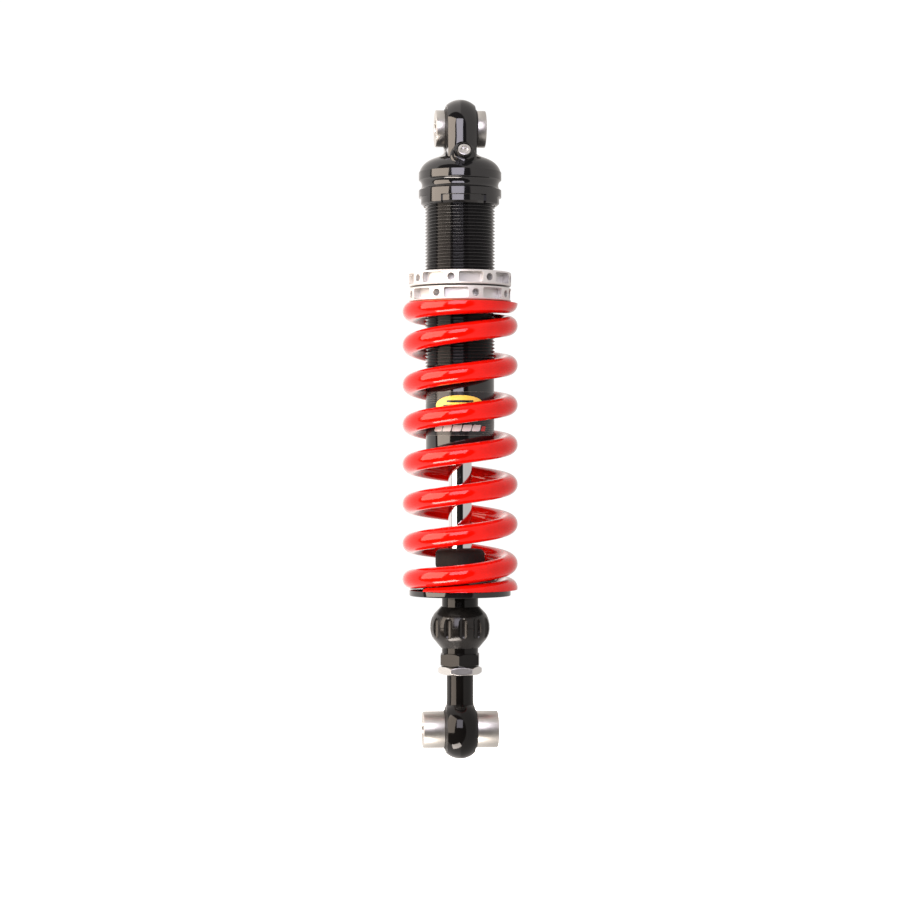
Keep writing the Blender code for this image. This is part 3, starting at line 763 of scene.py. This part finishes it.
def pocket_tool(reach):
    """A milling cut's shape: a flat rounded block along Y, its inner face at Y = 0."""
    shape = bmesh.new()
    outline = []
    for quarter in range(4):
        across = pocket_width / 2 - pocket_corner
        up = pocket_height / 2 - pocket_corner
        centre_x = across if quarter in (0, 3) else -across
        centre_z = up if quarter in (0, 1) else -up
        for k in range(6):
            angle = math.pi / 2 * (quarter + k / 5)
            outline.append((centre_x + pocket_corner * math.cos(angle),
                            centre_z + pocket_corner * math.sin(angle)))
    near = [shape.verts.new((x, 0, z)) for x, z in outline]
    far = [shape.verts.new((x, -reach, z)) for x, z in outline]
    shape.faces.new(near)
    shape.faces.new(list(reversed(far)))
    for i in range(len(outline)):
        j = (i + 1) % len(outline)
        shape.faces.new((near[i], near[j], far[j], far[i]))
    bmesh.ops.recalc_face_normals(shape, faces=shape.faces)
    return shape


def preload_ring(name, body, first_hole):
    """A pocketed ring, its first spanner hole turned by that much from the front."""
    low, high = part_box(name)
    outer = high.x
    middle = (low.z + high.z) / 2
    half = (high.z - low.z) / 2
    section = eased([
        (outer - ring_chamfer, -half), (outer, -half + ring_chamfer),
        (outer, half - ring_chamfer), (outer - ring_chamfer, half),
        (ring_bore + bore_lead, half), (ring_bore, half - bore_lead),
        (ring_bore, bore_lead - half), (ring_bore + bore_lead, -half),
    ], 0.2 * MM)
    ring = turned(section, 180)
    cuts = bmesh.new()
    for i in range(ring_pockets):
        land = first_hole + math.tau * i / ring_pockets
        turn = Matrix.Rotation(land, 4, "Z") @ Matrix.Translation((0, -outer, 0))
        drill = turn @ Matrix.Rotation(math.radians(90), 4, "X")
        bmesh.ops.create_cone(cuts, cap_ends=True, segments=28, radius1=spanner_hole / 2,
                              radius2=spanner_hole / 2, depth=drill_length, matrix=drill)
        pocket = pocket_tool(pocket_depth + 0.8 * MM)
        pocket_turn = Matrix.Rotation(land + math.pi / ring_pockets, 4, "Z")
        pocket.transform(pocket_turn @ Matrix.Translation((0, -outer + pocket_depth, 0)))
        cutter = bpy.data.meshes.new("pocket")
        pocket.to_mesh(cutter)
        pocket.free()
        cuts.from_mesh(cutter)
    tool = bpy.data.meshes.new("ring_cuts")
    cuts.to_mesh(tool)
    cuts.free()
    ring = combined(ring, tool, "DIFFERENCE")
    ring.transform(Matrix.Translation((0, 0, middle)))
    made = fitted(name + "_body", ring, ring_aluminium, body, [name])
    break_edges(made, 0.25 * MM)


preload_ring("lock_ring", "lock_ring", math.radians(-16))
preload_ring("adjuster_ring", "adjuster_ring", math.radians(12))

# Coil spring.
# Cold-wound chrome silicon wire, both ends closed and ground flat, gloss red powder coat. It
# stands on the lower seat, and the adjuster ring presses on its top end through a slip washer.
spring_red = new_look("spring_red", (0.67, 0.0035, 0.0006), 0, 0.16)
red_shader = spring_red.node_tree.nodes["Principled BSDF"]
red_shader.inputs["Coat Weight"].default_value = 1
red_shader.inputs["Coat Roughness"].default_value = 0.03
red_shader.inputs["Coat IOR"].default_value = 1.37
red_shader.inputs["Specular IOR Level"].default_value = 0.05
coat_flow = grain(spring_red, (260, 260, 260), 2)
vary_colour(spring_red, coat_flow, (0.64, 0.003, 0.0005), (0.7, 0.004, 0.0007))
vary_roughness(spring_red, coat_flow, 0.16, 0.24)
relief(spring_red, coat_flow, 0.02 * MM)

wire_radius = 5.8 * MM
coil_radius = 28.8 * MM
spring_turns = 8.617
spring_pitch = 23.78 * MM
end_turns = 1.37
end_rise = 15.8 * MM
tip_angle = math.radians(-47)
spring_low, spring_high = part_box("coil_spring")


def closing_height(turns):
    """Height of the wire's centre over an end's ground face, from its tip inwards."""
    if turns >= end_turns:
        return end_rise + (turns - end_turns) * spring_pitch
    stages = ((-1, -10 * MM), (0, -3.8 * MM), (0.25, 0), (0.64, 3.6 * MM), (0.87, 6.1 * MM),
              (1.12, 10.1 * MM), (end_turns, end_rise))
    for (first, low), (second, high) in zip(stages, stages[1:]):
        if turns <= second:
            return low + (high - low) * (turns - first) / (second - first)


def wire_centre(turns):
    """The wire's centre at a number of turns from the bottom tip, its kinks averaged out."""
    spread = 0.09
    reach = 4
    total = 0
    for k in range(-reach, reach + 1):
        near = turns + spread * k / reach
        if turns < spring_turns / 2:
            total += spring_low.z + closing_height(near)
        else:
            total += spring_high.z - closing_height(spring_turns - near)
    angle = tip_angle + math.tau * turns
    middle = total / (2 * reach + 1)
    return Vector((coil_radius * math.sin(angle), -coil_radius * math.cos(angle), middle))


def wire_between(first, last):
    """The wire between two counts of turns, ground off at the spring's two end planes."""
    sides = 28
    rows_per_turn = 96
    look_ahead = 0.004
    rows = max(8, round((last - first) * rows_per_turn))
    shape = bmesh.new()
    rings = []
    for k in range(rows + 1):
        turns = first + (last - first) * k / rows
        here = wire_centre(turns)
        ahead = (wire_centre(turns + look_ahead) - wire_centre(turns - look_ahead)).normalized()
        outward = Vector((here.x, here.y, 0)).normalized()
        outward = (outward - ahead * outward.dot(ahead)).normalized()
        upward = ahead.cross(outward)
        ring = []
        for i in range(sides):
            angle = math.tau * i / sides
            offset = outward * math.cos(angle) + upward * math.sin(angle)
            ring.append(shape.verts.new(here + offset * wire_radius))
        rings.append(ring)
    for one, other in zip(rings, rings[1:]):
        for i in range(sides):
            j = (i + 1) % sides
            shape.faces.new((one[i], one[j], other[j], other[i]))
    shape.faces.new(list(reversed(rings[0])))
    shape.faces.new(rings[-1])
    bmesh.ops.recalc_face_normals(shape, faces=shape.faces)
    for height, way in ((spring_low.z, -1), (spring_high.z, 1)):
        cut = bmesh.ops.bisect_plane(shape, geom=shape.verts[:] + shape.edges[:] + shape.faces[:],
                                     plane_co=(0, 0, height), plane_no=(0, 0, way), clear_outer=True)
        loop = [item for item in cut["geom_cut"] if isinstance(item, bmesh.types.BMEdge)]
        if loop:
            bmesh.ops.triangle_fill(shape, use_beauty=True, edges=loop)
    mesh = mesh_of(shape, "wire")
    mesh.materials.append(spring_red)
    mesh.shade_smooth()
    mesh.set_sharp_from_angle(angle=math.radians(40))
    return mesh


seam_turns = 6.63
upper_coils = bpy.data.objects.new("spring_upper_coils", wire_between(seam_turns, spring_turns))
lower_coils = bpy.data.objects.new("spring_lower_coils", wire_between(0, seam_turns))
for coils in (upper_coils, lower_coils):
    bpy.context.scene.collection.objects.link(coils)
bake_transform(upper_coils)
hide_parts("coil_spring")
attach(lower_coils, "damper_body")
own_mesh(lower_coils)

# Damper rod.
# Hard chromed and polished steel, ground to size. It screws into the shaft end below and
# carries the piston inside the tube.
hard_chrome = new_look("hard_chrome", (0.68, 0.675, 0.69), 1, 0.05)
polish = grain(hard_chrome, (60, 60, 1800))
vary_roughness(hard_chrome, polish, 0.03, 0.07)
relief(hard_chrome, polish, 0.0012 * MM)
rod_low, rod_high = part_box("rod")
rod_radius = rod_high.x
rod_shoulder = 166 * MM
piston_spigot = 5 * MM
needle_bore = 1.85 * MM
rod_edge = 0.4 * MM
rod_section = eased([(piston_spigot, -rod_high.z), (piston_spigot, rod_shoulder),
                     (rod_radius, rod_shoulder), (rod_radius, -rod_low.z),
                     (needle_bore, -rod_low.z), (needle_bore, -rod_high.z)], rod_edge)
fitted("damper_rod", turned(rod_section, 128), hard_chrome, "rod", ["rod"])

# Bump stop.
# A short cushion of dense closed-cell foam, threaded on the rod and resting on the lower
# seat's spigot, with a soft rounded top edge.
bump_foam = new_look("bump_foam", (0.011, 0.008, 0.007), 0, 0.75)
bump_foam.node_tree.nodes["Principled BSDF"].inputs["Specular IOR Level"].default_value = 0.3
cells = grain(bump_foam, (1400, 1400, 1400), 3)
vary_colour(bump_foam, cells, (0.007, 0.005, 0.0045), (0.017, 0.012, 0.01))
vary_roughness(bump_foam, cells, 0.62, 0.85)
relief(bump_foam, cells, 0.12 * MM)
stop_low, stop_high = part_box("bump_stop")
stop_radius = stop_high.x
stop_top = -stop_high.z
stop_bottom = -stop_low.z
stop_bore = 7.35 * MM
stop_section = [(stop_bore, stop_top + 0.3 * MM), (7.8 * MM, stop_top)]
stop_section += swept((stop_radius - 3.4 * MM, stop_top), (stop_radius - 1.2 * MM, stop_top + 0.1 * MM),
                      (stop_radius, stop_top + 1.2 * MM), (stop_radius, stop_top + 3.6 * MM))
stop_section += swept((stop_radius, stop_bottom - 3.4 * MM), (stop_radius, stop_bottom - 2.2 * MM),
                      (stop_radius - 0.6 * MM, stop_bottom - 0.8 * MM),
                      (stop_radius - 1.5 * MM, stop_bottom), 6)
stop_section.append((stop_bore, stop_bottom))
stop_object = fitted("bump_stop_foam", turned(stop_section, 96), bump_foam, "rod_end",
                     ["bump_stop"])

# Lower spring seat.
# A turned aluminium plate, black anodised, whose spigot centres the spring. It sits on the
# shaft end's shoulder and the spring holds it down.
seat_low, seat_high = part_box("lower_seat")
seat_radius = seat_high.x
seat_bottom = -seat_low.z
seat_top = seat_bottom - 3.5 * MM
seat_bore = 9.3 * MM
spigot_top = -seat_high.z
spigot_radius = 22.2 * MM
spigot_crown = 16.5 * MM
seat_section = eased([(spigot_crown, spigot_top), (spigot_crown, spigot_top + 3 * MM),
                      (spigot_radius, seat_top - 6 * MM), (spigot_radius, seat_top),
                      (seat_radius, seat_top), (seat_radius, seat_bottom),
                      (seat_bore, seat_bottom), (seat_bore, spigot_top)], 0.5 * MM)
fitted("lower_spring_seat", turned(seat_section, 160), black_anodised, "rod_end",
       ["lower_seat"])

# Shaft end.
# Black anodised aluminium: a round neck that takes the rod from above, a hexagon for the
# spanner at its foot, and a threaded hole for the lower eye's stud.
hard_black = new_look("hard_black", (0.004, 0.0037, 0.0035), 0, 0.09)
hard_black.node_tree.nodes["Principled BSDF"].inputs["IOR"].default_value = 1.34
vary_roughness(hard_black, grain(hard_black, (140, 140, 140)), 0.06, 0.12)
end_low, end_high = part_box("shaft_end")
neck_radius = 10.9 * MM
shaft_radius = 9 * MM
neck_top = seat_bottom + 0.15 * MM
hex_top = 314.1 * MM
hex_bottom = -end_low.z
hex_flats = 22.8 * MM
hex_turn = math.radians(-8)
hole_radius = 7.15 * MM
rod_hole_floor = 284.3 * MM
stud_hole_top = 296.7 * MM
neck_foot = hex_top + 0.5 * MM
neck = turned(eased([(0, rod_hole_floor), (hole_radius, rod_hole_floor), (hole_radius, -end_high.z),
                     (shaft_radius, -end_high.z), (shaft_radius, neck_top), (neck_radius, neck_top),
                     (neck_radius, neck_foot), (0, neck_foot)], 0.3 * MM), 120)
stud_hole = turned([(0, stud_hole_top), (hole_radius, stud_hole_top), (hole_radius, hex_bottom + 1 * MM),
                    (0, hex_bottom + 1 * MM)], 96)
shaft_mesh = combined(neck, spanner_hex(hex_flats, hex_top, hex_bottom, hex_turn), "UNION")
shaft_mesh = combined(shaft_mesh, stud_hole, "DIFFERENCE")
shaft_object = fitted("shaft_end_body", shaft_mesh, hard_black, "rod_end",
                      ["shaft_end"])
break_edges(shaft_object, 0.25 * MM, 25)

# Rebound knob.
# A barrel turned from aluminium and black anodised, with twelve finger flutes milled down its
# waist. It turns on the shaft end's neck to set the rebound damping.
knob_black = new_look("knob_black", (0.007, 0.0065, 0.006), 0, 0.24)
knob_black.node_tree.nodes["Principled BSDF"].inputs["IOR"].default_value = 1.42
knob_wear = grain(knob_black, (320, 320, 320))
vary_colour(knob_black, knob_wear, (0.005, 0.0045, 0.004), (0.01, 0.009, 0.008))
vary_roughness(knob_black, knob_wear, 0.15, 0.26)
relief(knob_black, knob_wear, 0.006 * MM)
knob_low, knob_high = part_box("rebound_knob")
knob_top = -knob_high.z
knob_bottom = -knob_low.z
knob_radius = 17.8 * MM
knob_seam = knob_top + 12.2 * MM
knob_mouth = neck_radius + 0.6 * MM
knob_bore = neck_radius + 0.2 * MM
seam_half = 0.25 * MM
knob_section = [(knob_mouth, knob_top)]
knob_section += swept((knob_radius - 2.6 * MM, knob_top + 3.9 * MM),
                      (knob_radius - 1.2 * MM, knob_top + 5.6 * MM),
                      (knob_radius - 0.1 * MM, knob_top + 9 * MM),
                      (knob_radius, knob_seam - seam_half), 8)
knob_section += [(knob_radius - 0.2 * MM, knob_seam), (knob_radius, knob_seam + seam_half)]
knob_section += swept((knob_radius, knob_seam + 0.6 * MM),
                      (knob_radius - 0.1 * MM, knob_seam + 4 * MM),
                      (knob_radius - 1.2 * MM, knob_bottom - 5.8 * MM),
                      (knob_radius - 3 * MM, knob_bottom - 4 * MM), 8)
knob_section += [(knob_mouth, knob_bottom), (knob_bore, knob_bottom), (knob_bore, knob_top)]
knob_mesh = turned(knob_section, 160)
knob_flutes = 12
flute_radius = 3.1 * MM
flute_inset = 7.9 * MM
flute_outset = 1.1 * MM
flute_top = knob_top + flute_inset
flute_bottom = knob_bottom - flute_inset
quarter_turn = [math.pi / 2 * k / 6 for k in range(7)]
flute = [(flute_radius * math.sin(angle), flute_top - flute_radius * math.cos(angle))
         for angle in quarter_turn]
flute += [(flute_radius * math.cos(angle), flute_bottom + flute_radius * math.sin(angle))
          for angle in quarter_turn]
cuts = bmesh.new()
for i in range(knob_flutes):
    mill = turned(flute, 32)
    mill.transform(Matrix.Rotation(math.tau * i / knob_flutes, 4, "Z")
                   @ Matrix.Translation((0, -knob_radius - flute_outset, 0)))
    cuts.from_mesh(mill)
mills = bpy.data.meshes.new("mills")
cuts.to_mesh(mills)
cuts.free()
knob_mesh = combined(knob_mesh, mills, "DIFFERENCE")
knob_object = fitted("rebound_knob_barrel", knob_mesh, knob_black, "rebound_knob",
                     ["rebound_knob"])
break_edges(knob_object, 0.2 * MM, 35)

# Lock nut.
# A thin zinc-plated steel jam nut on the lower eye's stud, run up against the shaft end to
# hold the length that was set.
nut_low, nut_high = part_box("lock_nut")
nut_top = -nut_high.z
nut_bottom = -nut_low.z
nut_turn = math.radians(-31)
nut_mesh = spanner_hex(hex_flats, nut_top, nut_bottom, nut_turn)
countersink = hole_radius + 1 * MM
nut_hole = turned([(0, nut_top - 1 * MM), (countersink, nut_top - 1 * MM), (hole_radius, nut_top + 0.4 * MM),
                   (hole_radius, nut_bottom - 0.4 * MM), (countersink, nut_bottom + 1 * MM),
                   (0, nut_bottom + 1 * MM)], 96)
nut_object = fitted("length_lock_nut", combined(nut_mesh, nut_hole, "DIFFERENCE"), plated_steel, "rod_end",
                    ["lock_nut"])
break_edges(nut_object, 0.2 * MM, 25)

# Lower eye.
# Machined in one piece from aluminium bar and black anodised: a crowned eye, a round shank
# and the threaded stud that screws up into the shaft end.
lower_centre = centre_of("lower_ball")
lower_depth = -lower_centre.z
lower_low, lower_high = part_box("lower_eye")
stud_radius = 7 * MM
shank_radius = 8 * MM
shank_top = 327.1 * MM
stud_top = -lower_high.z
stud_chamfer = 0.7 * MM
shank_edge = 0.3 * MM
shank_foot = lower_depth - 13.3 * MM
shank = [(0, stud_top), (stud_radius - stud_chamfer, stud_top), (stud_radius, stud_top + stud_chamfer),
         (stud_radius, shank_top), (shank_radius - shank_edge, shank_top),
         (shank_radius, shank_top + shank_edge)]
shank += swept((shank_radius, lower_depth - 19 * MM), (shank_radius, lower_depth - 16.5 * MM),
               (eye_half - 0.3 * MM, lower_depth - 15.5 * MM), (eye_half - 0.1 * MM, shank_foot), 8)
shank.append((0, shank_foot))
rim = [(0, -eye_half)]
for across, radius in rim_section():
    rim.append((radius, across))
rim.append((0, eye_half))
lower_mesh = combined(turned(shank, 120), along_bolt(turned(rim, 160), 1, lower_centre), "UNION")
lower_mesh = combined(lower_mesh, eye_tool(lower_centre), "DIFFERENCE")
fitted("lower_eye_body", lower_mesh, hard_black, "lower_eye", ["lower_eye"])

# Studio: floor, light tent and camera.
# A plain pale floor that glows white, a white tent that is open and dark to the viewer's left, a
# warm soft box on the left, a cooler one above the viewer and a low one that fills from below.
floor_radius = 0.55
floor_mesh = bpy.data.meshes.new("floor")
shape = bmesh.new()
bmesh.ops.create_circle(shape, cap_ends=True, segments=96, radius=floor_radius)
shape.to_mesh(floor_mesh)
shape.free()
floor = bpy.data.objects.new("floor", floor_mesh)
bpy.context.scene.collection.objects.link(floor)
floor_gap = 2 * MM
floor.location = (0, 0, cad_low.z - floor_gap)
pale_floor = new_look("pale_floor", (0.92, 0.915, 0.91), 0, 0.7)
vary_roughness(pale_floor, grain(pale_floor, (4, 4, 4)), 0.65, 0.75)
floor_glow = pale_floor.node_tree.nodes["Principled BSDF"]
floor_glow.inputs["Emission Color"].default_value = (1, 1, 1, 1)
floor_glow.inputs["Emission Strength"].default_value = 1
floor.visible_glossy = False
floor.visible_diffuse = False
floor.visible_shadow = False
floor_mesh.materials.append(pale_floor)

view_turn = math.radians(-6)
view_distance = 1.366
aim = Vector((0, 0, -198.5 * MM))


def seen_at(azimuth, elevation, distance):
    """A place around the object, with azimuths counted from the viewer towards the right."""
    angle = view_turn + math.radians(azimuth)
    lift = math.radians(elevation)
    level = distance * math.cos(lift)
    return aim + Vector((level * math.sin(angle), -level * math.cos(angle), distance * math.sin(lift)))


def soft_box(name, azimuth, elevation, distance, wide, high, power, colour):
    """A rectangular lamp aimed at the object, its bare panel hidden from the viewer."""
    lamp = bpy.data.lights.new(name, "AREA")
    lamp.shape = "RECTANGLE"
    lamp.size = wide
    lamp.size_y = high
    lamp.energy = power
    lamp.color = colour
    box = bpy.data.objects.new(name, lamp)
    bpy.context.scene.collection.objects.link(box)
    box.location = seen_at(azimuth, elevation, distance)
    box.rotation_euler = (aim - box.location).to_track_quat("-Z", "Y").to_euler()
    box.visible_camera = False


soft_box("warm_soft_box", azimuth=-58, elevation=14, distance=1.1, wide=1.05, high=1.25, power=25,
         colour=(1, 0.85, 0.72))
soft_box("cool_soft_box", azimuth=-6, elevation=23, distance=1.5, wide=0.9, high=0.9, power=16,
         colour=(0.93, 0.88, 1))
soft_box("low_reflector", azimuth=-38, elevation=-64, distance=1.2, wide=0.8, high=0.36, power=16,
         colour=(1, 0.9, 0.82))

world = bpy.data.worlds.new("light_tent")
bpy.context.scene.world = world
world.use_nodes = True
nodes = world.node_tree.nodes
links = world.node_tree.links
nodes.clear()
direction = nodes.new("ShaderNodeTexCoord")
opening = nodes.new("ShaderNodeVectorMath")
opening.operation = "DOT_PRODUCT"
opening_azimuth = -31
opening_core = math.radians(58)
opening_rim = math.radians(63)
opening.inputs[1].default_value = seen_at(opening_azimuth, 0, 1) - aim
edge = nodes.new("ShaderNodeMapRange")
edge.interpolation_type = "SMOOTHSTEP"
edge.inputs["From Min"].default_value = math.cos(opening_rim)
edge.inputs["From Max"].default_value = math.cos(opening_core)
edge.inputs["To Min"].default_value = 1.0
edge.inputs["To Max"].default_value = 0.02
leftward = nodes.new("ShaderNodeVectorMath")
leftward.operation = "DOT_PRODUCT"
leftward.inputs[1].default_value = seen_at(-90, 0, 1) - aim
sides = nodes.new("ShaderNodeMapRange")
sides.interpolation_type = "SMOOTHSTEP"
sides.inputs["From Min"].default_value = -0.06
sides.inputs["From Max"].default_value = 0.06
sides.inputs["To Min"].default_value = 0.75
sides.inputs["To Max"].default_value = 1.3
strength = nodes.new("ShaderNodeMath")
strength.operation = "MULTIPLY"
tent = nodes.new("ShaderNodeBackground")
tent.inputs["Color"].default_value = (1, 0.94, 0.9, 1)
white = nodes.new("ShaderNodeBackground")
white.inputs["Color"].default_value = (1, 1, 1, 1)
white.inputs["Strength"].default_value = 1.05
rays = nodes.new("ShaderNodeLightPath")
choice = nodes.new("ShaderNodeMixShader")
surround = nodes.new("ShaderNodeOutputWorld")
links.new(direction.outputs["Generated"], opening.inputs[0])
links.new(opening.outputs["Value"], edge.inputs["Value"])
links.new(direction.outputs["Generated"], leftward.inputs[0])
links.new(leftward.outputs["Value"], sides.inputs["Value"])
links.new(edge.outputs["Result"], strength.inputs[0])
links.new(sides.outputs["Result"], strength.inputs[1])
links.new(strength.outputs["Value"], tent.inputs["Strength"])
links.new(rays.outputs["Is Camera Ray"], choice.inputs["Fac"])
links.new(tent.outputs["Background"], choice.inputs[1])
links.new(white.outputs["Background"], choice.inputs[2])
links.new(choice.outputs["Shader"], surround.inputs["Surface"])

lens = bpy.data.cameras.new("camera")
lens.sensor_width = 36
lens.lens = 89.1
lens.clip_end = 50
camera = bpy.data.objects.new("camera", lens)
bpy.context.scene.collection.objects.link(camera)
camera.location = seen_at(0, 0, view_distance)
camera.rotation_euler = (aim - camera.location).to_track_quat("-Z", "Y").to_euler()
bpy.context.scene.camera = camera
bpy.context.scene.view_settings.view_transform = "Standard"
